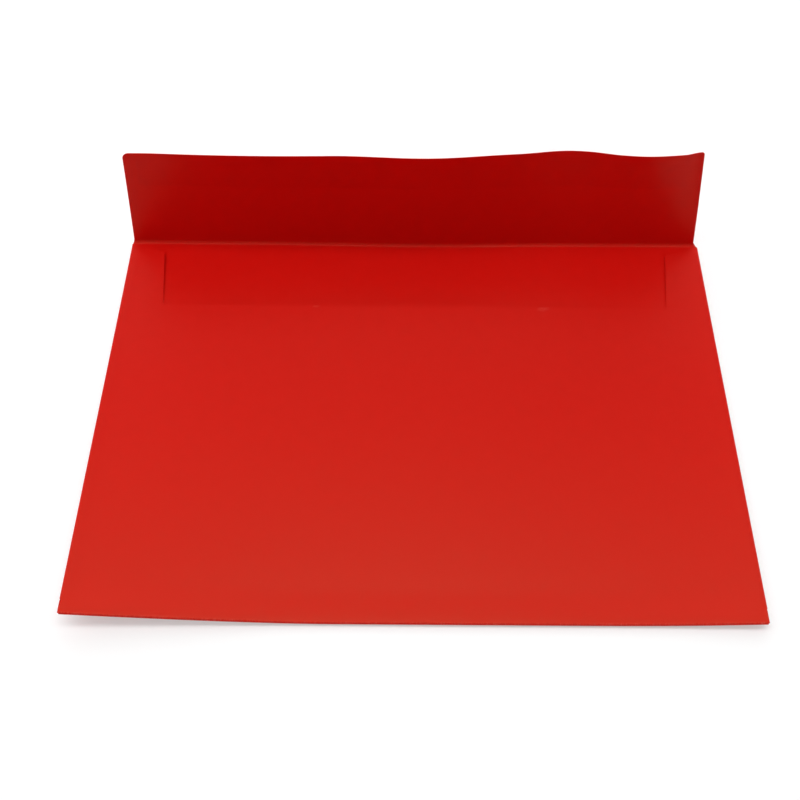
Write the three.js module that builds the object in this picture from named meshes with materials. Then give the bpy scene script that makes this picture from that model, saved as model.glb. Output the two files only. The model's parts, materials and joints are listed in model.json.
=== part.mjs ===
// A wallet envelope of C4 size: one folded sheet of paper with its seal flap raised.
// Millimetres. X runs along the seal fold, Y from the bottom fold to the seal fold, and Z is up.
// The origin is the middle of the address face, where the envelope lies on the table.
import * as THREE from "three";

// The closed envelope
const WIDTH = 324;
const DEPTH = 229;

// The paper and what lies between its layers
const PAPER = 0.15;
const LAYER_GAP = 0.1; // air between the front panel and a side flap
const SEAT = 0.05; // clearance at each face of a glue or gum film
const SEAM_FILM = 0.1; // thickness of the seam glue
const GUM_FILM = 0.05; // thickness of the dried seal gum
const FOLD_CUT = 0.05; // gap along a fold, where one panel ends and the next begins

// Back panel
const BACK_INSET = 1; // its cut edges lie this far inside the side folds
const THROAT_BELOW_FOLD = 45; // from the seal fold to the throat, beside the side folds
const THROAT_DIP = 4.5; // how much lower the throat is at its middle
const BACK_CORNER_RADIUS = 4;
const MOUTH_RISE = 6; // how far the free middle of the throat stands off the front panel

// Side flaps
const SIDE_FLAP_WIDTH = 24;
const SIDE_FLAP_TOP_WIDTH = 18;
const SIDE_FLAP_SLANT = 52; // length of the slanted part of the inner edge
const SIDE_FLAP_TOP_CLEAR = 1; // from the seal fold to the flap, at the side fold
const SIDE_FLAP_TOP_CHAMFER = 7; // how much lower its inner corner is
const SIDE_FLAP_BOTTOM_CLEAR = 7;
const SIDE_FLAP_BOTTOM_CHAMFER = 12;

// Seams
const SEAM_WIDTH = 10;
const SEAM_FROM_SIDE = 6; // from the side fold to the glue
const SEAM_END_MARGIN = 6; // from the throat, and from the end of the side flap

// Seal flap
const FLAP_HEIGHT = 63.2;
const FLAP_INSET = 1.7; // at each end of the seal fold
const FLAP_TAPER = 6; // how much it narrows at each end up to its free edge
const FLAP_SHIFT = -0.6; // how far off centre it was cut, along X
const FLAP_SKEW = -0.9; // how much further off its free edge is, as the fold is not quite square
const FLAP_CORNER_RADIUS = 3.5;
const FLAP_ANGLE = 82; // degrees between the raised flap and the table behind it
const CREASE_GAP = 0.1; // from the hinge line to the root of the flap

// Seal gum
const GUM_WIDTH = 18;
const GUM_FROM_EDGE = 4; // from the free edge of the flap

// Curl of the resting envelope: the lower corners lift, and the middle strip stays flat on the table
const FLAT_STRIP = 60;
const LEFT_CORNER_LIFT = 11.4;
const LEFT_CURL = 1.43; // power with which the curl grows towards the side
const RIGHT_CORNER_LIFT = 4.2;
const RIGHT_CURL = 2.7;

// Waves along the free edge of the flap, each a smooth hump. Its middle and half its length are shares of
// half the flap's width, and its height is a share of WAVE_HEIGHT, away from the body of the envelope.
const WAVE_HEIGHT = 4.1;
const WAVE_GROWTH = 1.6; // power with which a wave grows from the fold to the free edge
const WAVES = [
  { middle: -0.5, half: 0.76, share: -0.88 },
  { middle: 0.06, half: 0.35, share: -1 },
  { middle: 0.51, half: 0.18, share: 0.64 },
  { middle: 0.77, half: 0.16, share: -0.54 },
];

// How finely the curved sheets are divided
const PANEL_COLUMNS = 24;
const FRONT_ROWS = 10;
const BACK_ROWS = 9;
const SIDE_ROWS = 14;
const SIDE_COLUMNS = 2;
const FLAP_COLUMNS = 40;
const FLAP_ROWS = 6;
const BEND_STEPS = 5;
const ARC_STEPS = 3;

// Heights of the layers above the table, from the front panel up to the back panel
const frontMiddle = PAPER / 2;
const sideMiddle = PAPER + LAYER_GAP + PAPER / 2;
const sideTop = sideMiddle + PAPER / 2;
const seamMiddle = sideTop + SEAT + SEAM_FILM / 2;
const backMiddle = sideTop + SEAT + SEAM_FILM + SEAT + PAPER / 2;
const backTop = backMiddle + PAPER / 2;

// Bend radii of the folds, to the middle of the paper
const sideBend = (sideMiddle - frontMiddle) / 2;
const bottomBend = (backMiddle - frontMiddle) / 2;

// Edges of the flat panels, where the bends begin
const sideFoldX = WIDTH / 2 - PAPER / 2 - sideBend;
const bottomFoldY = -DEPTH / 2 + PAPER / 2 + bottomBend;
const sealFoldY = DEPTH / 2;

// The hinge line of the seal flap, and how far the paper lies outside it
const flapOffset = (backTop + PAPER / 2 - frontMiddle) / 2;
const hingeZ = frontMiddle + flapOffset;
const flapAngle = THREE.MathUtils.degToRad(FLAP_ANGLE);

const { clamp, lerp } = THREE.MathUtils;

// The height to which the curled sheet has lifted off the table at a place in plan.
function lift(x, y) {
  const half = FLAT_STRIP / 2;
  const outward = Math.max(Math.abs(x) - half, 0) / (WIDTH / 2 - half);
  const downward = clamp(0.5 - y / DEPTH, 0, 1);
  const corner = x < 0 ? LEFT_CORNER_LIFT : RIGHT_CORNER_LIFT;
  const power = x < 0 ? LEFT_CURL : RIGHT_CURL;
  return corner * downward * outward ** power;
}

// How far the back panel stands off the layers below it, between the seams and from the bottom fold up.
function mouthRise(x, y) {
  const half = WIDTH / 2 - SEAM_FROM_SIDE - SEAM_WIDTH;
  const across = clamp(Math.abs(x) / half, 0, 1);
  const along = clamp((y - bottomFoldY) / (throatY(0) - bottomFoldY), 0, 1);
  return MOUTH_RISE * (1 - across ** 2) ** 1.5 * (1 - (1 - along) ** 3);
}

function throatY(x) {
  const across = x / (WIDTH / 2 - BACK_INSET);
  return sealFoldY - THROAT_BELOW_FOLD - THROAT_DIP * (1 - across ** 2);
}

// How far the flap's sheet stands outside its flat shape, at a height up the flap.
function wave(x, height) {
  const along = x / (WIDTH / 2 - FLAP_INSET);
  const sum = WAVES.reduce((total, { middle, half, share }) => {
    const q = clamp((along - middle) / half, -1, 1);
    return total + share * Math.cos((q * Math.PI) / 2) ** 2;
  }, 0);
  return WAVE_HEIGHT * sum * Math.max(height / FLAP_HEIGHT, 0) ** WAVE_GROWTH;
}

// Rows up a panel that ends in two rounded corners: the height of each, and how far its ends are drawn in.
function roundedRows(height, radius, rows) {
  const straight = Array.from({ length: rows }, (_, j) => ({
    height: ((height - radius) * j) / rows,
    drawnIn: 0,
  }));
  const arc = Array.from({ length: ARC_STEPS + 1 }, (_, j) => {
    const angle = ((Math.PI / 2) * j) / ARC_STEPS;
    return {
      height: height - radius * (1 - Math.sin(angle)),
      drawnIn: radius * (1 - Math.cos(angle)),
    };
  });
  return [...straight, ...arc];
}

// A closed sheet. place(i, j) gives one grid place of its middle surface and the sheet's normal there.
function sheet(columns, rows, thickness, place) {
  const corners = [];
  for (let j = 0; j <= rows; j += 1) {
    for (let i = 0; i <= columns; i += 1) {
      const { point, normal } = place(i, j);
      const half = normal.clone().multiplyScalar(thickness / 2);
      corners.push(point.clone().sub(half), point.clone().add(half));
    }
  }
  const lower = (i, j) => 2 * (j * (columns + 1) + i);
  const upper = (i, j) => lower(i, j) + 1;
  const triangles = [];
  const quad = (a, b, c, d) => triangles.push(a, b, c, a, c, d);
  for (let j = 0; j < rows; j += 1) {
    for (let i = 0; i < columns; i += 1) {
      quad(upper(i, j), upper(i + 1, j), upper(i + 1, j + 1), upper(i, j + 1));
      quad(lower(i, j), lower(i, j + 1), lower(i + 1, j + 1), lower(i + 1, j));
    }
  }
  for (let i = 0; i < columns; i += 1) {
    quad(lower(i, 0), lower(i + 1, 0), upper(i + 1, 0), upper(i, 0));
    quad(lower(i + 1, rows), lower(i, rows), upper(i, rows), upper(i + 1, rows));
  }
  for (let j = 0; j < rows; j += 1) {
    quad(lower(0, j + 1), lower(0, j), upper(0, j), upper(0, j + 1));
    quad(lower(columns, j), lower(columns, j + 1), upper(columns, j + 1), upper(columns, j));
  }
  if (signedVolume(corners, triangles) < 0) triangles.reverse();
  const geometry = new THREE.BufferGeometry().setFromPoints(corners);
  geometry.setIndex(triangles);
  geometry.computeVertexNormals();
  return geometry;
}

function signedVolume(corners, triangles) {
  let volume = 0;
  for (let k = 0; k < triangles.length; k += 3) {
    const [a, b, c] = [0, 1, 2].map((n) => corners[triangles[k + n]]);
    volume += a.dot(b.clone().cross(c)) / 6;
  }
  return volume;
}

const UP = new THREE.Vector3(0, 0, 1);

// A place on a layer that lies at a height above the front panel's lower face.
function onSheet(x, y, height) {
  return { point: new THREE.Vector3(x, y, height + lift(x, y)), normal: UP };
}

// Where a fold's half turn has got to after some of its steps: out from its centre line, and up.
function bendAt(step) {
  const angle = -Math.PI / 2 + (Math.PI * step) / BEND_STEPS;
  return { out: Math.cos(angle), up: Math.sin(angle) };
}

function frontPanel() {
  const half = sideFoldX - FOLD_CUT;
  const low = bottomFoldY + FOLD_CUT;
  return sheet(PANEL_COLUMNS, FRONT_ROWS, PAPER, (i, j) => {
    const x = lerp(-half, half, i / PANEL_COLUMNS);
    const y = lerp(low, sealFoldY, j / FRONT_ROWS);
    return onSheet(x, y, frontMiddle);
  });
}

// The bend of the bottom fold comes first, and then the panel runs up to the throat.
function backPanel() {
  const half = WIDTH / 2 - BACK_INSET;
  const rows = roundedRows(1, BACK_CORNER_RADIUS / (throatY(0) - bottomFoldY), BACK_ROWS);
  return sheet(PANEL_COLUMNS, BEND_STEPS + rows.length - 1, PAPER, (i, j) => {
    const side = (2 * i) / PANEL_COLUMNS - 1;
    if (j < BEND_STEPS) {
      const { out, up } = bendAt(j);
      const x = side * half;
      const y = bottomFoldY - bottomBend * out;
      const { point } = onSheet(x, y, frontMiddle + bottomBend * (1 + up));
      return { point, normal: new THREE.Vector3(0, -out, up) };
    }
    const { height, drawnIn } = rows[j - BEND_STEPS];
    const x = side * (half - drawnIn * (throatY(0) - bottomFoldY));
    const y = lerp(bottomFoldY, throatY(x), height);
    return onSheet(x, y, backMiddle + mouthRise(x, y));
  });
}

// How wide the side flap is at a distance below the seal fold.
function sideFlapWidth(below) {
  const slanted = clamp(below / SIDE_FLAP_SLANT, 0, 1);
  return lerp(SIDE_FLAP_TOP_WIDTH, SIDE_FLAP_WIDTH, slanted);
}

// The bend of the side fold comes first, and then the flap runs inwards. side is -1 on the left and 1 on the right.
function sideFlap(side) {
  return sheet(BEND_STEPS + SIDE_COLUMNS, SIDE_ROWS, PAPER, (i, j) => {
    const inward = Math.max(i - BEND_STEPS, 0) / SIDE_COLUMNS;
    const top = SIDE_FLAP_TOP_CLEAR + SIDE_FLAP_TOP_CHAMFER * inward;
    const bottom = DEPTH - SIDE_FLAP_BOTTOM_CLEAR - SIDE_FLAP_BOTTOM_CHAMFER * inward;
    const below = lerp(top, bottom, j / SIDE_ROWS);
    const y = sealFoldY - below;
    if (i < BEND_STEPS) {
      const { out, up } = bendAt(i);
      const x = side * (sideFoldX + sideBend * out);
      const { point } = onSheet(x, y, frontMiddle + sideBend * (1 + up));
      return { point, normal: new THREE.Vector3(side * out, 0, up) };
    }
    const x = side * lerp(sideFoldX, WIDTH / 2 - sideFlapWidth(below), inward);
    return onSheet(x, y, sideMiddle);
  });
}

function seamGlue(side) {
  const outer = WIDTH / 2 - SEAM_FROM_SIDE;
  const high = throatY(outer) - SEAM_END_MARGIN;
  const low = bottomFoldY + SIDE_FLAP_BOTTOM_CLEAR + SIDE_FLAP_BOTTOM_CHAMFER + SEAM_END_MARGIN;
  return sheet(1, SIDE_ROWS, SEAM_FILM, (i, j) => {
    const x = side * (outer - SEAM_WIDTH * i);
    const y = lerp(low, high, j / SIDE_ROWS);
    return onSheet(x, y, seamMiddle);
  });
}

// A place on the raised flap: across is -1 to 1 along its width there, and outside is off the middle of its paper.
function onFlap(across, height, drawnIn, outside) {
  const root = WIDTH / 2 - FLAP_INSET;
  const up = height / FLAP_HEIGHT;
  const x = across * (root - FLAP_TAPER * up - drawnIn) + FLAP_SHIFT + FLAP_SKEW * up;
  const off = flapOffset + wave(x, height) + outside;
  const normal = new THREE.Vector3(0, Math.sin(flapAngle), -Math.cos(flapAngle));
  const point = new THREE.Vector3(x, sealFoldY, hingeZ)
    .add(new THREE.Vector3(0, Math.cos(flapAngle), Math.sin(flapAngle)).multiplyScalar(height))
    .addScaledVector(normal, off);
  return { point, normal };
}

function sealFlap() {
  const rows = roundedRows(FLAP_HEIGHT, FLAP_CORNER_RADIUS, FLAP_ROWS);
  return sheet(FLAP_COLUMNS, rows.length - 1, PAPER, (i, j) => {
    const { height, drawnIn } = rows[j];
    return onFlap((2 * i) / FLAP_COLUMNS - 1, Math.max(height, CREASE_GAP), drawnIn, 0);
  });
}

// The gum keeps to the flap's own columns, so that it follows the waves, and stops one column short at each end.
function sealGum() {
  const columns = FLAP_COLUMNS - 2;
  const low = FLAP_HEIGHT - GUM_FROM_EDGE - GUM_WIDTH;
  const inside = -(PAPER / 2 + SEAT + GUM_FILM / 2);
  return sheet(columns, 2, GUM_FILM, (i, j) => {
    const across = (2 * (i + 1)) / FLAP_COLUMNS - 1;
    return onFlap(across, low + (GUM_WIDTH * j) / 2, 0, inside);
  });
}

// Finishes: dyed uncoated paper, a clear film of dried gum on it, and milky dried glue
function paper(color) {
  return new THREE.MeshStandardMaterial({ color, roughness: 0.82, metalness: 0 });
}

function film(color, roughness) {
  return new THREE.MeshStandardMaterial({ color, roughness, metalness: 0 });
}

function piece(name, geometry, material) {
  const mesh = new THREE.Mesh(geometry, material);
  mesh.name = name;
  return mesh;
}

const envelope = new THREE.Group();
envelope.add(
  piece("front_panel", frontPanel(), paper("#c8241c")),
  piece("left_side_flap", sideFlap(-1), paper("#c8241c")),
  piece("right_side_flap", sideFlap(1), paper("#c8241c")),
  piece("left_seam_glue", seamGlue(-1), film("#d8c8a8", 0.5)),
  piece("right_seam_glue", seamGlue(1), film("#d8c8a8", 0.5)),
  piece("back_panel", backPanel(), paper("#d0281e")),
  piece("seal_flap", sealFlap(), paper("#b81c16")),
  piece("seal_gum", sealGum(), film("#b41e18", 0.4)),
);

export default envelope;
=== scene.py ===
import json
import math

import bpy
from mathutils import Matrix


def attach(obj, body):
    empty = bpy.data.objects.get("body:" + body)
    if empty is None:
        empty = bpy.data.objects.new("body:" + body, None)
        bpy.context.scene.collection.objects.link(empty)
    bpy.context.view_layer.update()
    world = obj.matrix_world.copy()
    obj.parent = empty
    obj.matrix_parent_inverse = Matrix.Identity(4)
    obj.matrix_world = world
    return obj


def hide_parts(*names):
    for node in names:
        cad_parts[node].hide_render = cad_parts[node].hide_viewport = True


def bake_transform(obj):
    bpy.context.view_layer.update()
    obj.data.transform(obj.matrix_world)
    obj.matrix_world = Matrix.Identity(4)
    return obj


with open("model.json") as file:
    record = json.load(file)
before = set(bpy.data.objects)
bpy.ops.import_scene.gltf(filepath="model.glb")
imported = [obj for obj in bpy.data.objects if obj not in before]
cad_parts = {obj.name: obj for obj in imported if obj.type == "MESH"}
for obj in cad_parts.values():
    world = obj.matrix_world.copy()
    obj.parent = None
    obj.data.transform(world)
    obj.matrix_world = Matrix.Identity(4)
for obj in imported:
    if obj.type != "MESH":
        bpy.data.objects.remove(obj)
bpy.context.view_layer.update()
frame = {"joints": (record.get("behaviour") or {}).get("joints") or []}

MM = 0.001


# The camera looks down at the envelope from in front of its bottom fold, held almost level, with an
# ordinary lens. Its place and tilt come from the outline in the photograph.
CAMERA_PLACE = (-6.18 * MM, -290.5 * MM, 469.9 * MM)
CAMERA_LENS = 47.98  # mm, on a sensor 36 mm wide
CAMERA_DOWN = 57.551  # degrees below the horizon
CAMERA_YAW = 0.296
CAMERA_ROLL = 0.116

camera = bpy.data.objects.new("camera", bpy.data.cameras.new("camera"))
camera.data.sensor_width = 36
camera.data.lens = CAMERA_LENS
camera.matrix_world = (
    Matrix.Translation(CAMERA_PLACE)
    @ Matrix.Rotation(math.radians(CAMERA_YAW), 4, "Z")
    @ Matrix.Rotation(math.radians(90 - CAMERA_DOWN), 4, "X")
    @ Matrix.Rotation(math.radians(CAMERA_ROLL), 4, "Z")
)
bpy.context.scene.collection.objects.link(camera)
bpy.context.scene.camera = camera
bpy.context.scene.view_settings.view_transform = "Standard"


# The paper is wood pulp dyed red all through, uncoated and matt. Its fibres lie mostly one way, so the
# surface is faintly clouded and streaked, and along the folds some fibres have broken and turned pale. Its
# colour also carries painted light: a paler, more orange sheen towards the bottom fold, and two pale painted
# highlights at the throat edge.
class Value:
    """A number in a node tree. Sums written with it add the Math nodes that work them out."""

    def __init__(self, tree, socket):
        self.tree = tree
        self.socket = socket

    def output(self, name):
        return Value(self.tree, self.socket.node.outputs[name])

    def math(self, operation, *others):
        return self.tree.math(operation, self, *others)

    def __add__(self, other):
        return self.math("ADD", other)

    def __radd__(self, other):
        return self.math("ADD", other)

    def __sub__(self, other):
        return self.math("SUBTRACT", other)

    def __rsub__(self, other):
        return self.tree.math("SUBTRACT", other, self)

    def __mul__(self, other):
        return self.math("MULTIPLY", other)

    def __rmul__(self, other):
        return self.math("MULTIPLY", other)

    def __truediv__(self, other):
        return self.math("DIVIDE", other)

    def __pow__(self, power):
        return self.math("POWER", power)

    def clamp(self, low=0, high=1):
        return self.math("MAXIMUM", low).math("MINIMUM", high)

    def smooth(self, low, high):
        """0 below low, 1 above high, and an S-curve between them."""
        share = ((self - low) / (high - low)).clamp()
        return share * share * (3 - 2 * share)


class Tree:
    """A node tree. add() makes a node from its type, its settings and what its sockets hold."""

    def __init__(self, nodes):
        self.nodes = nodes

    def add(self, kind, settings=None, sockets=None, output=0):
        node = self.nodes.nodes.new(kind)
        for name, setting in (settings or {}).items():
            setattr(node, name, setting)
        for name, held in (sockets or {}).items():
            if isinstance(held, Value):
                self.nodes.links.new(held.socket, node.inputs[name])
            else:
                node.inputs[name].default_value = held
        return Value(self, node.outputs[output] if node.outputs else None)

    def math(self, operation, *operands):
        return self.add("ShaderNodeMath", {"operation": operation}, dict(enumerate(operands)))

    def vector(self, x, y, z=0):
        return self.add("ShaderNodeCombineXYZ", sockets={"X": x, "Y": y, "Z": z})

    def noise(self, place, size, detail=2, roughness=0.5):
        """Noise about 0.5, with lumps of about that size."""
        sockets = {"Vector": place, "Scale": 1 / size, "Detail": detail, "Roughness": roughness}
        return self.add("ShaderNodeTexNoise", sockets=sockets)

    def mix(self, share, first, second):
        """A colour that goes from the first to the second."""
        return self.add("ShaderNodeMix", {"data_type": "RGBA"}, {0: share, 6: first, 7: second}, output=2)


def new_material(name):
    material = bpy.data.materials.new(name)
    material.use_nodes = True
    material.node_tree.nodes.clear()
    return material, Tree(material.node_tree)


PAPER_RED = (0.665, 0.004, 0.003, 1)
DEEP_RED = (0.62, 0.003, 0.002, 1)
PAPER_SHINE = (1, 0.88, 0.5, 1)
LIGHT_INTO_PAPER = (1, 0.3, 0.25)  # how far red, green and blue light get, as shares of the depth
LIGHT_DEPTH = 0.16 * MM
PAPER_ROUGHNESS = 0.38
ROUGHNESS_SPREAD = 0.12
# Pale red of fibres broken along the folds, and of the painted highlights.
WEAR_AND_HIGHLIGHT_RED = (0.85, 0.16, 0.12, 1)
WORN_GRAIN = (0.46, 0.66)  # grain between which the fibres on a fold turn pale
WEAR_WIDTH = 0.35 * MM  # from a fold to where its wear has ended
WEAR_SHARE = 0.25  # of pale fibres on a fold
HIGHLIGHT_STREAK = (0.3, 0.6)  # streaks between which a painted highlight turns pale
HIGHLIGHT_SHARE = 0.18  # of painted highlight in the middle of a spot
HIGHLIGHT_SLOPE = 0.7  # share of a painted highlight's half length over which it fades in
# Painted sheen: the red turns paler and more orange towards the bottom fold, standing in for the light there.
SHEEN_RED = (0.635, 0.0185, 0.01, 1)
SHEEN_MIDDLE = -114.5 * MM  # the bottom fold, on the flat sheet, where the painted sheen is strongest
SHEEN_REACH = 130 * MM
SHEEN_CURVE = 1.5
CLOUD_SIZE = 7 * MM
GRAIN_SIZE = 0.35 * MM
STREAK_SIZE = 2.4 * MM
STREAK_STRETCH = 7  # how many times longer than wide the streaks are
FIBRE_SIZE = 1.1 * MM
FIBRE_STRETCH = 6
FIBRE_TURN = 0.9  # radians from the streaks
CLOUD_DEPTH = 0.8  # how much each pattern deepens the red
GRAIN_DEPTH = 0.9
STREAK_DEPTH = 0.6
GRAIN_RELIEF = 0.6  # how much each pattern raises the surface
FIBRE_RELIEF = 0.6
STREAK_RELIEF = 0.3


def painted_highlight(tree, flat, highlights):
    """Painted highlights: 1 in the middle of each spot, and 0 from its edge on. A spot is its middle on the
    flat sheet, its half length, its half depth and how it is turned."""
    parts = tree.add("ShaderNodeSeparateXYZ", sockets={"Vector": flat})
    share = 0
    for x, y, half_length, half_depth, turn in highlights:
        cosine, sine = math.cos(turn), math.sin(turn)
        from_x, from_y = parts - x, parts.output("Y") - y
        along = (from_x * cosine + from_y * sine) / half_length
        beside = (from_y * cosine - from_x * sine) / half_depth
        share = share + (1 - (along ** 2 + beside ** 2).math("SQRT")).clamp().smooth(0, HIGHLIGHT_SLOPE)
    return share


def paper_material(name, highlights=()):
    """Dyed paper, with a painted sheen towards the bottom fold and painted highlights at the given places.
    The sheet holds each point's place on the flat sheet, and how far it is from a fold.
    """
    material, tree = new_material(name)
    flat = tree.add("ShaderNodeAttribute", {"attribute_name": "flat"}, output="Vector")
    from_fold = tree.add("ShaderNodeAttribute", {"attribute_name": "from_fold"}, output="Fac")

    cloud = tree.noise(flat, CLOUD_SIZE, detail=4)
    grain = tree.noise(flat, GRAIN_SIZE, detail=3, roughness=0.65)
    along = tree.add("ShaderNodeMapping", sockets={"Vector": flat, "Scale": (1, STREAK_STRETCH, 1)})
    streak = tree.noise(along, STREAK_SIZE, detail=3)
    across = tree.add(
        "ShaderNodeMapping",
        sockets={"Vector": flat, "Rotation": (0, 0, FIBRE_TURN), "Scale": (1, FIBRE_STRETCH, 1)},
    )
    fibre = tree.noise(across, FIBRE_SIZE, detail=2, roughness=0.6)

    deeper = (cloud - 0.5) * CLOUD_DEPTH + (grain - 0.5) * GRAIN_DEPTH + (streak - 0.5) * STREAK_DEPTH
    red = tree.mix((0.5 + deeper).clamp(), PAPER_RED, DEEP_RED)
    flat_y = tree.add("ShaderNodeSeparateXYZ", sockets={"Vector": flat}, output="Y")
    # Painted sheen: paler, more orange red towards the bottom fold.
    painted_sheen = (1 - (flat_y - SHEEN_MIDDLE).math("ABSOLUTE") / SHEEN_REACH).clamp() ** SHEEN_CURVE
    red = tree.mix(painted_sheen, red, SHEEN_RED)
    wear_and_highlight = (1 - from_fold / WEAR_WIDTH).clamp() * grain.smooth(*WORN_GRAIN) * WEAR_SHARE
    # Painted highlights at the throat edge, pale and streaked like fibres.
    wear_and_highlight = wear_and_highlight + painted_highlight(tree, flat, highlights) * streak.smooth(*HIGHLIGHT_STREAK) * HIGHLIGHT_SHARE
    colour = tree.mix(wear_and_highlight, red, WEAR_AND_HIGHLIGHT_RED)

    height = grain * GRAIN_RELIEF + fibre * FIBRE_RELIEF + streak * STREAK_RELIEF
    bump = tree.add("ShaderNodeBump", sockets={"Strength": 0.35, "Distance": 0.02 * MM, "Height": height})
    shader = tree.add(
        "ShaderNodeBsdfPrincipled",
        sockets={
            "Base Color": colour,
            "Roughness": PAPER_ROUGHNESS + (grain - 0.5) * ROUGHNESS_SPREAD,
            "Normal": bump,
            "Specular IOR Level": 0.13,
            "Specular Tint": PAPER_SHINE,
            "Subsurface Weight": 1,
            "Subsurface Radius": LIGHT_INTO_PAPER,
            "Subsurface Scale": LIGHT_DEPTH,
        },
    )
    tree.add("ShaderNodeOutputMaterial", sockets={"Surface": shader})
    return material


# The front panel lies on the table, address side down, and carries all the others. Its lower corners have
# curled up off the table, the left one most, and its middle strip lies flat. At the top it bends up into the
# seal flap, round a fold that isn't pressed sharp.
WIDTH = 324 * MM
DEPTH = 229 * MM
PAPER = 0.15 * MM
FLAT_STRIP = 60 * MM  # width of the middle strip
LEFT_LIFT = 11.4 * MM  # of the lower left corner off the table
LEFT_CURL = 1.43  # the larger, the nearer its side a corner starts to lift
RIGHT_LIFT = 4.5 * MM
RIGHT_CURL = 2.7
END_LIFT = 1.2 * MM  # how far the bottom fold has sprung up off the table, all along
END_CURL = 5  # the larger, the nearer the bottom fold that starts
SEAL_BOW = (5 * MM, 90 * MM, 1.1 * MM)  # the seal fold strays forward: its middle, half length and depth
SEAL_RISES = (  # where the seal fold has sprung up off the table: middle, half length, height
    (-162 * MM, 90 * MM, 0.5 * MM),
    (162 * MM, 60 * MM, 0.3 * MM),
)
SEAL_RISE_REACH = 60 * MM  # from the seal fold to where the panels lie flat again
SEAL_RISE_CURVE = 1.5
SIDE_BEND = 0.4 * MM  # radius of the side folds, which aren't pressed quite flat
BOTTOM_BEND = 0.8 * MM
BOTTOM_SLACK = 0.6 * MM  # how far the bottom fold bulges out
SEAL_BEND = 2.2 * MM
FLAP_ANGLE = math.radians(82)  # how far the seal fold turns the sheet up
FRONT_COLUMNS = 162
FRONT_ROWS = 114
CORNER_ROWS = 3  # of the grid, below the side flaps, where the panel ends in a bare edge

front_middle = PAPER / 2
side_fold = WIDTH / 2 - PAPER / 2 - SIDE_BEND
bottom_fold = -DEPTH / 2 + PAPER / 2 + BOTTOM_BEND - BOTTOM_SLACK
seal_fold = frame["joints"][0]["pos_m"][1]
hinge_height = frame["joints"][0]["pos_m"][2]
hinge_bend = hinge_height - front_middle
bend_reach = (SEAL_BEND - hinge_bend) * math.tan(FLAP_ANGLE / 2)  # how much sooner the bend starts
bend_start = seal_fold - bend_reach


class Sheet(Tree):
    """The Geometry Nodes tree of one panel: a grid, placed by sums on its columns and rows."""

    def __init__(self, name, columns, rows):
        super().__init__(bpy.data.node_groups.new(name, "GeometryNodeTree"))
        self.sizes = {}
        self.nodes.interface.new_socket("Geometry", in_out="OUTPUT", socket_type="NodeSocketGeometry")
        self.sockets = self.nodes.nodes.new("NodeGroupInput").outputs
        counts = {"Size X": 1, "Size Y": 1, "Vertices X": columns + 1, "Vertices Y": rows + 1}
        self.grid = self.add("GeometryNodeMeshGrid", sockets=counts)
        place = self.add("GeometryNodeInputPosition")
        parts = self.add("ShaderNodeSeparateXYZ", sockets={"Vector": place})
        self.column = (parts + 0.5) * columns
        self.row = (parts.output("Y") + 0.5) * rows

    def size(self, name, value):
        """A named input of the tree."""
        if name not in self.sizes:
            socket = self.nodes.interface.new_socket(name, in_out="INPUT", socket_type="NodeSocketFloat")
            self.sizes[name] = (socket.identifier, value)
        return Value(self, self.sockets[name])

    def end(self, place, flat, from_fold, material):
        """Places the grid. Each point keeps its place on the flat sheet and how far it is from a fold."""
        kept = self.grid
        for name, kind, value in (
            ("flat", "FLOAT_VECTOR", self.vector(*flat)),
            ("from_fold", "FLOAT", from_fold),
        ):
            settings = {"data_type": kind, "domain": "POINT"}
            sockets = {"Geometry": kept, "Name": name, "Value": value}
            kept = self.add("GeometryNodeStoreNamedAttribute", settings, sockets)
        placed = self.add(
            "GeometryNodeSetPosition", sockets={"Geometry": kept, "Position": self.vector(*place)}
        )
        real = self.add("GeometryNodeRealizeInstances", sockets={"Geometry": placed})
        painted = self.add("GeometryNodeSetMaterial", sockets={"Geometry": real, "Material": material})
        self.add("NodeGroupOutput", sockets={"Geometry": painted})

    def piece(self, name, thickness, body, slot, *nodes):
        """The finished panel as a plain mesh, in its thickness, riding on a body."""
        made = bpy.data.objects.new(name, bpy.data.meshes.new(name))
        bpy.context.scene.collection.objects.link(made)
        shape = made.modifiers.new("shape", "NODES")
        shape.node_group = self.nodes
        for identifier, value in self.sizes.values():
            shape[identifier] = value
        walls = made.modifiers.new("thickness", "SOLIDIFY")
        walls.thickness = thickness
        walls.offset = 0
        depsgraph = bpy.context.evaluated_depsgraph_get()
        evaluated = made.evaluated_get(depsgraph)
        mesh = bpy.data.meshes.new_from_object(evaluated, preserve_all_data_layers=True, depsgraph=depsgraph)
        made.modifiers.clear()
        made.data = mesh
        mesh.name = name
        mesh.shade_smooth()
        mesh.set_sharp_from_angle(angle=math.radians(40))
        if body:
            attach(made, body)
        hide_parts(*nodes)
        return made


def hump(place, middle, half):
    """A smooth hump of height 1, as wide as twice half."""
    share = ((place - middle) / half).clamp(-1, 1)
    return (share * (math.pi / 2)).math("COSINE") ** 2


def lift(sheet, x, y):
    """How far the curled envelope has lifted off the table."""
    strip = sheet.size("Flat strip", FLAT_STRIP) / 2
    outward = (x.math("ABSOLUTE") - strip).clamp(0) / (sheet.size("Width", WIDTH) / 2 - strip)
    downward = (0.5 - y / sheet.size("Depth", DEPTH)).clamp()
    left = sheet.size("Left lift", LEFT_LIFT) * outward ** sheet.size("Left curl", LEFT_CURL)
    right = sheet.size("Right lift", RIGHT_LIFT) * outward ** sheet.size("Right curl", RIGHT_CURL)
    on_left = x.math("LESS_THAN", 0)
    end = sheet.size("End lift", END_LIFT) * downward ** END_CURL
    corners = downward * (left * on_left + right * (1 - on_left))
    near_seal = (1 - (seal_fold - y) / SEAL_RISE_REACH).clamp() ** SEAL_RISE_CURVE
    return (corners ** 2 + end ** 2).math("SQRT") + seal_rise(x) * near_seal


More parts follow.
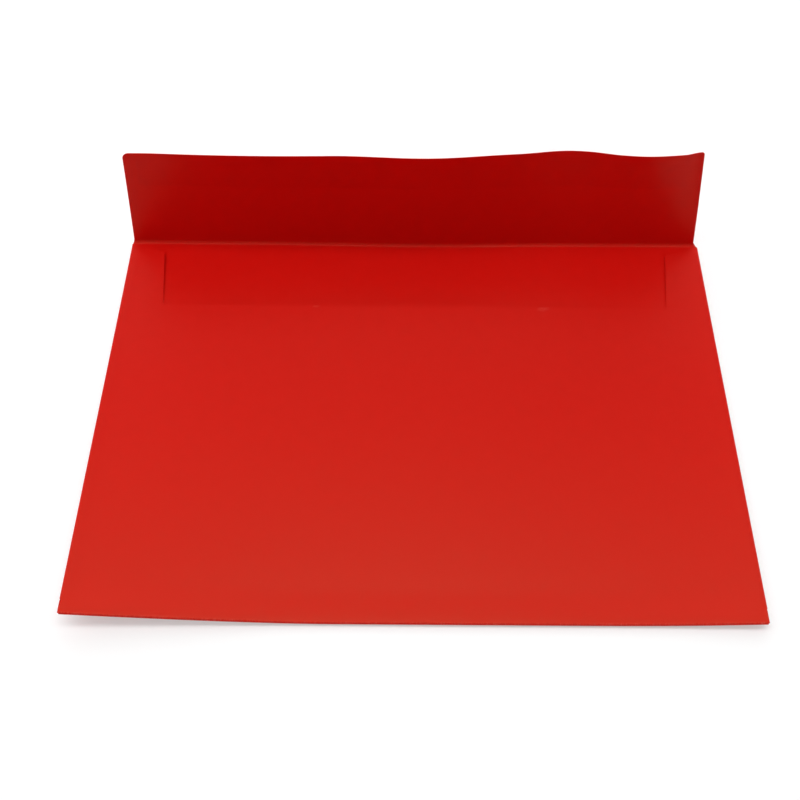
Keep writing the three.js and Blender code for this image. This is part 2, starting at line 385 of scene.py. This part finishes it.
def seal_rise(x):
    """How far the seal fold has sprung up off the table."""
    return sum(height * hump(x, middle, half) for middle, half, height in SEAL_RISES)


def seal_bow(x):
    """How far back the seal fold lies from where it should. It is negative, since the fold strays forward."""
    middle, half, depth = SEAL_BOW
    return -depth * hump(x, middle, half)


# Two painted highlights, pale where the throat edge catches light.
PAINTED_HIGHLIGHTS = (  # painted highlights: middle on the flat sheet, half length, half depth, how it is turned
    (70.2 * MM, -293.4 * MM, 4.8 * MM, 2.3 * MM, -0.25),
    (-54 * MM, -293.8 * MM, 2.8 * MM, 1.6 * MM, 0),
)

panel_paper = paper_material("panel_paper", highlights=PAINTED_HIGHLIGHTS)

front = Sheet("front_panel_shape", columns=FRONT_COLUMNS, rows=FRONT_ROWS)
front_half = front.size("Half width between the folds", side_fold)
at_corners = (CORNER_ROWS + 1 - front.row).clamp() + (front.row - (FRONT_ROWS - 1)).clamp()
bare_edge = at_corners * front.size("Side bend's reach", WIDTH / 2 - side_fold)
front_x = (front.column / (FRONT_COLUMNS / 2) - 1) * (front_half + bare_edge)
front_top = bend_start + seal_bow(front_x)
front_y = bottom_fold + front.row / FRONT_ROWS * (front_top - bottom_fold)
front_z = front_middle + lift(front, front_x, front_y)
to_side = front_half - front_x.math("ABSOLUTE")
from_folds = to_side.math("MINIMUM", front_y - bottom_fold)
front.end((front_x, front_y, front_z), (front_x, front_y), from_folds, panel_paper)
front.piece("front_panel_paper", PAPER, "envelope_body", "panel_paper", "front_panel")


# A side flap is folded in at each side fold and lies on the front panel, with cut-off corners. Above the
# throat nothing holds its inner edge down, and it has sprung up a little.
LAYER_GAP = 0.1 * MM  # air between the front panel and a side flap
SIDE_FLAP_WIDTH = 24 * MM
SIDE_FLAP_TOP_WIDTH = 18.7 * MM
SIDE_FLAP_SLANT = 52 * MM
SIDE_FLAP_TOP_CLEAR = 2 * MM
SIDE_FLAP_TOP_CHAMFER = 7 * MM
SIDE_FLAP_BOTTOM_CLEAR = 7 * MM
SIDE_FLAP_BOTTOM_CHAMFER = 12 * MM
SIDE_FLAP_SPRING = 1.4 * MM  # how far the inner edge has sprung up
SIDE_FLAP_HELD = 45.4 * MM  # below the seal fold, from where the back panel holds it down
SIDE_BEND_RUN = 9 * MM  # from a side to where the layers lie flat again
SIDE_FLAP_COLUMNS = 24
SIDE_FLAP_ROWS = 150
BEND_STEPS = 10

side_middle = PAPER + LAYER_GAP + PAPER / 2
side_puff_height = 2 * SIDE_BEND - (side_middle - front_middle)


def side_puff(sheet, x):
    """How much further up the upper layers lie near a side fold, because of its bend."""
    from_side = sheet.size("Width", WIDTH) / 2 - x.math("ABSOLUTE")
    return sheet.size("Side puff", side_puff_height) * (1 - from_side.smooth(0, SIDE_BEND_RUN))


def half_turn(share, radius):
    """Where a fold has got to after some of its half turn: out from its middle line, and up."""
    angle = (share - 0.5) * math.pi
    return radius * angle.math("COSINE"), radius * (1 + angle.math("SINE"))


for side, name in ((-1, "left_side_flap"), (1, "right_side_flap")):
    flap = Sheet(name + "_shape", columns=BEND_STEPS + SIDE_FLAP_COLUMNS, rows=SIDE_FLAP_ROWS)
    inward = ((flap.column - BEND_STEPS) / SIDE_FLAP_COLUMNS).clamp()
    top = flap.size("Top clearance", SIDE_FLAP_TOP_CLEAR) + inward * flap.size(
        "Top chamfer", SIDE_FLAP_TOP_CHAMFER
    )
    bottom = (
        flap.size("Depth", DEPTH)
        - flap.size("Bottom clearance", SIDE_FLAP_BOTTOM_CLEAR)
        - inward * flap.size("Bottom chamfer", SIDE_FLAP_BOTTOM_CHAMFER)
    )
    below = top + flap.row / SIDE_FLAP_ROWS * (bottom - top)
    top_width = flap.size("Top width", SIDE_FLAP_TOP_WIDTH)
    slanted = (below / flap.size("Slant", SIDE_FLAP_SLANT)).clamp()
    width = top_width + slanted * (flap.size("Full width", SIDE_FLAP_WIDTH) - top_width)
    out, up = half_turn((flap.column / BEND_STEPS).clamp(), SIDE_BEND)
    run = inward * (side_fold - WIDTH / 2 + width)
    x = side * (side_fold + out - run)
    y = seal_fold - below
    loose = (1 - below / SIDE_FLAP_HELD).clamp() ** 0.5
    spring = flap.size("Spring", SIDE_FLAP_SPRING) * inward ** 2 * loose
    z = front_middle + up - side_puff_height + side_puff(flap, x) + spring + lift(flap, x, y)
    flap.end((x, y, z), (side * (side_fold + run), y), run, panel_paper)
    flap.piece(name + "_paper", PAPER, "envelope_body", "panel_paper", name)


# Seam glue joins the back panel to each side flap: a stripe of milky paste, dried between the papers.
GLUE_PALE = (0.72, 0.6, 0.42, 1)
GLUE_DARK = (0.6, 0.48, 0.3, 1)
GLUE_SPACE = 0.2 * MM  # between a side flap and the back panel
SEAM_WIDTH = 10 * MM
SEAM_FROM_SIDE = 6 * MM
SEAM_TOP = 54 * MM  # below the seal fold
SEAM_BOTTOM = 25 * MM  # above the bottom fold
SEAM_FILM = 0.1 * MM
SEAM_WOBBLE = 0.6 * MM
SEAM_WOBBLE_LENGTH = 9  # in rows of the grid
GLUE_LUMPS = 2 * MM
SEAM_COLUMNS = 12
SEAM_ROWS = 150

glue_material, tree = new_material("seam_glue")
place = tree.add("ShaderNodeTexCoord", output="Object")
lumps = tree.noise(place, GLUE_LUMPS, detail=3)
bump = tree.add("ShaderNodeBump", sockets={"Strength": 0.5, "Distance": 0.03 * MM, "Height": lumps})
shader = tree.add(
    "ShaderNodeBsdfPrincipled",
    sockets={
        "Base Color": tree.mix(lumps, GLUE_PALE, GLUE_DARK),
        "Roughness": 0.4 + lumps * 0.2,
        "Normal": bump,
    },
)
tree.add("ShaderNodeOutputMaterial", sockets={"Surface": shader})

for side, name in ((-1, "left_seam_glue"), (1, "right_seam_glue")):
    seam = Sheet(name + "_shape", columns=SEAM_COLUMNS, rows=SEAM_ROWS)
    wobble = seam.noise(seam.vector(seam.column, seam.row), SEAM_WOBBLE_LENGTH, detail=2) - 0.5
    across = seam.column / SEAM_COLUMNS * seam.size("Stripe width", SEAM_WIDTH)
    from_side = SEAM_FROM_SIDE + across + wobble * (2 * SEAM_WOBBLE)
    x = side * (WIDTH / 2 - from_side)
    seam_length = seal_fold - SEAM_TOP - SEAM_BOTTOM - bottom_fold
    y = bottom_fold + SEAM_BOTTOM + seam.row / SEAM_ROWS * seam_length
    z = side_middle + (PAPER + GLUE_SPACE) / 2 + side_puff(seam, x) + lift(seam, x, y)
    seam.end((x, y, z), (x, y), from_side, glue_material)
    seam.piece(name + "_film", SEAM_FILM, "envelope_body", "seam_glue", name)


# The back panel comes up round the bottom fold and over the side flaps, glued to them by the seams. Between
# the seams it stands off the front panel, so that the pocket gapes a little at the throat.
BACK_INSET = 1 * MM
THROAT_BELOW_FOLD = 45 * MM
THROAT_DIP = 4.5 * MM
BACK_CORNER = 4 * MM
MOUTH_RISE = 6 * MM
MOUTH_CURVE = 1.5  # how sharply the gape falls off towards the seams
MOUTH_CLIMB = 3  # how soon it opens on the way up to the throat
BOTTOM_BEND_RUN = 16 * MM  # from the bottom fold to where the layers lie flat again
RIPPLE = 0.25 * MM
RIPPLE_LENGTH = 60 * MM
BACK_COLUMNS = 180
BACK_ROWS = 100
CORNER_STEPS = 8

seam_inner = SEAM_FROM_SIDE + SEAM_WIDTH
back_middle = side_middle + PAPER + GLUE_SPACE

back = Sheet("back_panel_shape", columns=BACK_COLUMNS, rows=BEND_STEPS + BACK_ROWS + CORNER_STEPS)
back_half = back.size("Half width", WIDTH / 2 - BACK_INSET)
radius = back.size("Corner radius", BACK_CORNER)
turn = ((back.row - BEND_STEPS - BACK_ROWS) / CORNER_STEPS).clamp() * (math.pi / 2)
x = (back.column / (BACK_COLUMNS / 2) - 1) * (back_half - radius * (1 - turn.math("COSINE")))
throat_below = back.size("Throat below the fold", THROAT_BELOW_FOLD)
throat_dip = back.size("Throat dip", THROAT_DIP)
throat = seal_fold - throat_below - throat_dip * (1 - (x / back_half) ** 2)
length = throat - bottom_fold
climb = ((back.row - BEND_STEPS) / BACK_ROWS).clamp() * (length - radius) + radius * turn.math("SINE")
out, up = half_turn((back.row / BEND_STEPS).clamp(), BOTTOM_BEND)
y = bottom_fold - out + climb
free = 1 - (x / (WIDTH / 2 - seam_inner)).math("ABSOLUTE").clamp() ** 2
along = (climb / (seal_fold - throat_below - throat_dip - bottom_fold)).clamp()
rise = back.size("Mouth rise", MOUTH_RISE) * free ** MOUTH_CURVE * (1 - (1 - along) ** MOUTH_CLIMB)
ripple = (back.noise(back.vector(x, y), RIPPLE_LENGTH, detail=1) - 0.5) * free * along * (2 * RIPPLE)
spread = climb.smooth(0, BOTTOM_BEND_RUN)
down = spread * back.size("Bottom bend's height", 2 * BOTTOM_BEND - (back_middle - front_middle))
z = front_middle + up - down + spread * side_puff(back, x) + rise + ripple + lift(back, x, y)
back.end((x, y, z), (x, bottom_fold - climb), climb, panel_paper)
back.piece("back_panel_paper", PAPER, "envelope_body", "panel_paper", "back_panel")


# The seal flap goes on from the front panel through the seal fold, and stands up from it. Its free edge
# waves, and its two outer corners are rounded.
FLAP_HEIGHT = 63.2 * MM
FLAP_INSET = 1.4 * MM  # from the side folds to the flap's ends
FLAP_TAPER = 5.8 * MM  # from the fold to the free edge, at each end
FLAP_SHIFT = -0.6 * MM  # of the whole flap along the fold
FLAP_SKEW = -0.7 * MM  # of its free edge, on top of that
LEFT_CORNER = 3.5 * MM
RIGHT_CORNER = 1.6 * MM
WAVE_HEIGHT = 4.1 * MM
WAVE_GROWTH = 1.6  # the larger, the nearer the free edge the waves start
WAVES = (  # middle and half length, in half widths of the flap, and share of the wave height
    (-1, 0.14, -0.16),
    (-0.5, 0.76, -0.88),
    (0.03, 0.56, -0.17),
    (0.06, 0.35, -0.88),
    (0.51, 0.18, 0.64),
    (0.77, 0.19, -0.54),
    (0.955, 0.07, 0.5),
)
FLAP_COLUMNS = 200
FLAP_ROWS = 90
HELD_SHARE = 0.2  # share of the bend


def on_flap(sheet, across, height, drawn_in, outside, bent):
    """A place on the flap. across is -1 to 1, outside is how far it lies behind the middle of the paper, and
    bent is the share of the seal fold's bend that it has come round."""
    angle = bent * FLAP_ANGLE - math.pi / 2
    root = sheet.size("Half width at the fold", WIDTH / 2 - FLAP_INSET)
    up = height / sheet.size("Height", FLAP_HEIGHT)
    x = across * (root - up * sheet.size("Taper", FLAP_TAPER) - drawn_in)
    x = x + bent * sheet.size("Shift", FLAP_SHIFT) + up * sheet.size("Skew", FLAP_SKEW)
    waves = sum(share * hump(x / root, middle, half) for middle, half, share in WAVES)
    wave = sheet.size("Wave height", WAVE_HEIGHT) * waves * up ** sheet.size("Wave growth", WAVE_GROWTH)
    cosine, sine = math.cos(FLAP_ANGLE), math.sin(FLAP_ANGLE)
    off = wave + outside
    bend = sheet.size("Bend", SEAL_BEND)
    straight = height - bend_reach
    bow, rise = seal_bow(x) * (1 - up), seal_rise(x) * (1 - up)
    y = bend_start + bow + bend * angle.math("COSINE") + straight * cosine + off * sine
    z = front_middle + rise + bend * (1 + angle.math("SINE")) + straight * sine - off * cosine
    return x, y, z


flap_paper = paper_material("flap_paper")

flap = Sheet("seal_flap_shape", columns=FLAP_COLUMNS, rows=BEND_STEPS + FLAP_ROWS + CORNER_STEPS)
bent = (flap.row / BEND_STEPS).clamp()
left_radius = flap.size("Left corner radius", LEFT_CORNER)
right_radius = flap.size("Right corner radius", RIGHT_CORNER)
radius = left_radius + flap.column / FLAP_COLUMNS * (right_radius - left_radius)
turn = ((flap.row - BEND_STEPS - FLAP_ROWS) / CORNER_STEPS).clamp() * (math.pi / 2)
run = flap.size("Height", FLAP_HEIGHT) - bend_reach - radius
height = bend_reach + ((flap.row - BEND_STEPS) / FLAP_ROWS).clamp() * run + radius * turn.math("SINE")
drawn_in = radius * (1 - turn.math("COSINE")) - (1 - bent) * FLAP_INSET
place = on_flap(flap, flap.column / (FLAP_COLUMNS / 2) - 1, height, drawn_in, 0, bent)
flap.end(place, (place[0], seal_fold + height), height, flap_paper)
flap_piece = flap.piece("seal_flap_paper", PAPER, None, "flap_paper", "seal_flap")
bend_over = SEAL_BEND * math.sin(FLAP_ANGLE)
bend_start + HELD_SHARE * bend_over
bend_start + bend_over
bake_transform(flap_piece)


# The seal gum is a stripe of clear gum along the free edge of the flap's inner face, rolled on wet and dried
# so thin that it only shows as a faint sheen, with edges that are not quite straight.
GUM_FILM = 0.05 * MM
GUM_WIDTH = 18 * MM
GUM_FROM_EDGE = 4 * MM
GUM_SPAN = 0.955  # of the flap's width
GUM_WOBBLE = 0.4 * MM
GUM_WOBBLE_LENGTH = 14  # in rows of the grid
GUM_CLOUDS = 6 * MM
GUM_GRAIN = 0.5 * MM
GUM_COLUMNS = 190
GUM_ROWS = 12

gum_material, tree = new_material("seal_gum")
flat = tree.add("ShaderNodeAttribute", {"attribute_name": "flat"}, output="Vector")
thick = tree.noise(flat, GUM_CLOUDS, detail=3)
fine = tree.noise(flat, GUM_GRAIN, detail=2)
bump = tree.add("ShaderNodeBump", sockets={"Strength": 0.3, "Distance": 0.01 * MM, "Height": fine + thick})
shader = tree.add(
    "ShaderNodeBsdfPrincipled",
    sockets={
        "Base Color": tree.mix(thick, PAPER_RED, DEEP_RED),
        "Roughness": 0.3 + thick * 0.12,
        "Normal": bump,
        "Alpha": 0.01 + thick * 0.03,
    },
)
tree.add("ShaderNodeOutputMaterial", sockets={"Surface": shader})

gum = Sheet("seal_gum_shape", columns=GUM_COLUMNS, rows=GUM_ROWS)
across = (gum.column / (GUM_COLUMNS / 2) - 1) * GUM_SPAN
wobble = gum.noise(gum.vector(gum.column, gum.row), GUM_WOBBLE_LENGTH, detail=2) - 0.5
low = gum.size("Height of its lower edge", FLAP_HEIGHT - GUM_FROM_EDGE - GUM_WIDTH)
height = low + gum.row / GUM_ROWS * gum.size("Stripe width", GUM_WIDTH) + wobble * (2 * GUM_WOBBLE)
all_round = gum.size("Share of the seal fold's bend", 1.0)
place = on_flap(gum, across, height, 0, -(PAPER + GUM_FILM) / 2, all_round)
gum.end(place, (place[0], seal_fold + height), height, gum_material)
gum.piece("seal_gum_film", GUM_FILM, "seal_flap", "seal_gum", "seal_gum")


# The table is a plain pale sheet, white to the camera, and it keeps the envelope's shadow, lightened by a
# glow that only the camera sees.
TABLE_SIZE = 4  # metres from its middle to its sides
TABLE_GREY = (0.88, 0.88, 0.88, 1)
TABLE_SEEN_GREY = (0.62, 0.62, 0.62, 1)
TABLE_GLOW = 0.41

table_mesh = bpy.data.meshes.new("table")
corners = [(x * TABLE_SIZE, y * TABLE_SIZE, 0) for x, y in ((-1, -1), (1, -1), (1, 1), (-1, 1))]
table_mesh.from_pydata(corners, [], [(0, 1, 2, 3)])
table = bpy.data.objects.new("table", table_mesh)
bpy.context.scene.collection.objects.link(table)
table_material, tree = new_material("table")


def seen_ray(tree):
    """1 for what the camera sees, straight or in a gloss or through glass, and 0 for light on its way."""
    path = tree.add("ShaderNodeLightPath", output="Is Camera Ray")
    return (path + path.output("Is Glossy Ray") + path.output("Is Transmission Ray")).clamp()


seen = seen_ray(tree)
matt = tree.add("ShaderNodeBsdfDiffuse", sockets={"Color": tree.mix(seen, TABLE_GREY, TABLE_SEEN_GREY)})
glow = tree.add("ShaderNodeEmission", sockets={"Strength": seen * TABLE_GLOW})
both = tree.add("ShaderNodeAddShader", sockets={0: matt, 1: glow})
tree.add("ShaderNodeOutputMaterial", sockets={"Surface": both})
table_mesh.materials.append(table_material)


# The room is white to the camera. Most of its light comes from a long strip of softboxes overhead, which
# runs from left to right, and the rest is weak: a softbox near the left side, and wide light from all round.
LEFT_LAMP_PLACE = (-0.7, 0.1, 0.5)
LEFT_LAMP_SIZE = 0.5
LEFT_LAMP_WATTS = 0.75
STRIP_UP = (0, 0.087, 0.996)  # towards the middle of the strip
STRIP_BACK = (0, 0.996, -0.087)  # square to that and to the strip's length
STRIP_NARROW = 60
STRIP_SHORT = 4
STRIP_STRENGTH = 6.9
LAMPS = (  # direction, how narrow, strength
    ((0, 0.71, 0.71), 8, 0.4),
    ((0, 0.95, 0.31), 4, 1.9),
    ((-0.6, 0, 0.8), 8, 0.5),
    ((0, -0.95, 0.31), 4, 0.65),
)

left_lamp = bpy.data.objects.new("left_softbox", bpy.data.lights.new("left_softbox", "AREA"))
left_lamp.data.size = LEFT_LAMP_SIZE
left_lamp.data.energy = LEFT_LAMP_WATTS
left_lamp.location = LEFT_LAMP_PLACE
left_lamp.rotation_euler = (0, math.atan2(LEFT_LAMP_PLACE[0], LEFT_LAMP_PLACE[2]), 0)
left_lamp.visible_camera = False
bpy.context.scene.collection.objects.link(left_lamp)

room = bpy.data.worlds.new("room")
room.use_nodes = True
room.node_tree.nodes.clear()
tree = Tree(room.node_tree)
way = tree.add("ShaderNodeTexCoord", output="Generated")


def facing(direction):
    """How far the way looked in points in a direction: 1 if it does, 0 if it is square to it."""
    return tree.add("ShaderNodeVectorMath", {"operation": "DOT_PRODUCT"}, {0: way, 1: direction}, "Value")


beside_strip = 1 - facing(STRIP_BACK) ** 2
daylight = STRIP_STRENGTH * beside_strip ** STRIP_NARROW * facing(STRIP_UP).clamp() ** STRIP_SHORT
for direction, narrow, strength in LAMPS:
    daylight = daylight + strength * facing(direction).clamp() ** narrow
seen = seen_ray(tree)
strength = seen + (1 - seen) * daylight
light = tree.add("ShaderNodeBackground", sockets={"Color": (1, 1, 1, 1), "Strength": strength})
tree.add("ShaderNodeOutputWorld", sockets={"Surface": light})
bpy.context.scene.world = room
